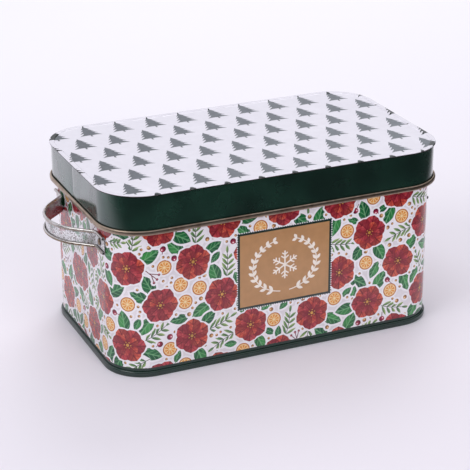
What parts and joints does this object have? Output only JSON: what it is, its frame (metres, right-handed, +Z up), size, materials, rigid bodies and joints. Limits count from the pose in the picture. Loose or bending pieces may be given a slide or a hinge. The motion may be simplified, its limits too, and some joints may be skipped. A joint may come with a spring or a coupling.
{
  "type": "tin box",
  "caption": "Rectangular tinplate box with rounded corners, a lift-off lid with a rolled bead, a seamed base and a riveted strap handle at each end.",
  "frame": {"origin": "centre of the foot, on the surface that the box stands on", "axes": "+X along the long side towards the right handle, +Y to the back, +Z up"},
  "size_m": [0.256, 0.1328, 0.1155],
  "materials": {
    "lid_print": "satin printed tinplate, white with a grey fir-tree repeat",
    "lid_lacquer": "gloss dark green lacquer, bare metal inside and on the bead",
    "body_print": "gloss printed tinplate, pale ground with red, green and gold plants",
    "base_lacquer": "gloss dark green lacquer",
    "strap_print": "gloss printed tinplate with bare curled edges",
    "rivet_metal": "dull bare steel"
  },
  "bodies": {
    "box": {"body_wall": "body_print", "base_panel": "base_lacquer", "left_handle": "strap_print", "right_handle": "strap_print", "left_rivets": "rivet_metal", "right_rivets": "rivet_metal"},
    "lid": {"lid_panel": "lid_print", "lid_skirt": "lid_lacquer"}
  },
  "joints": [
    {"name": "lid_lift", "type": "slide", "parent": "box", "child": "lid", "axis": [0, 0, 1], "range_m": [0, 0.06]}
  ]
}
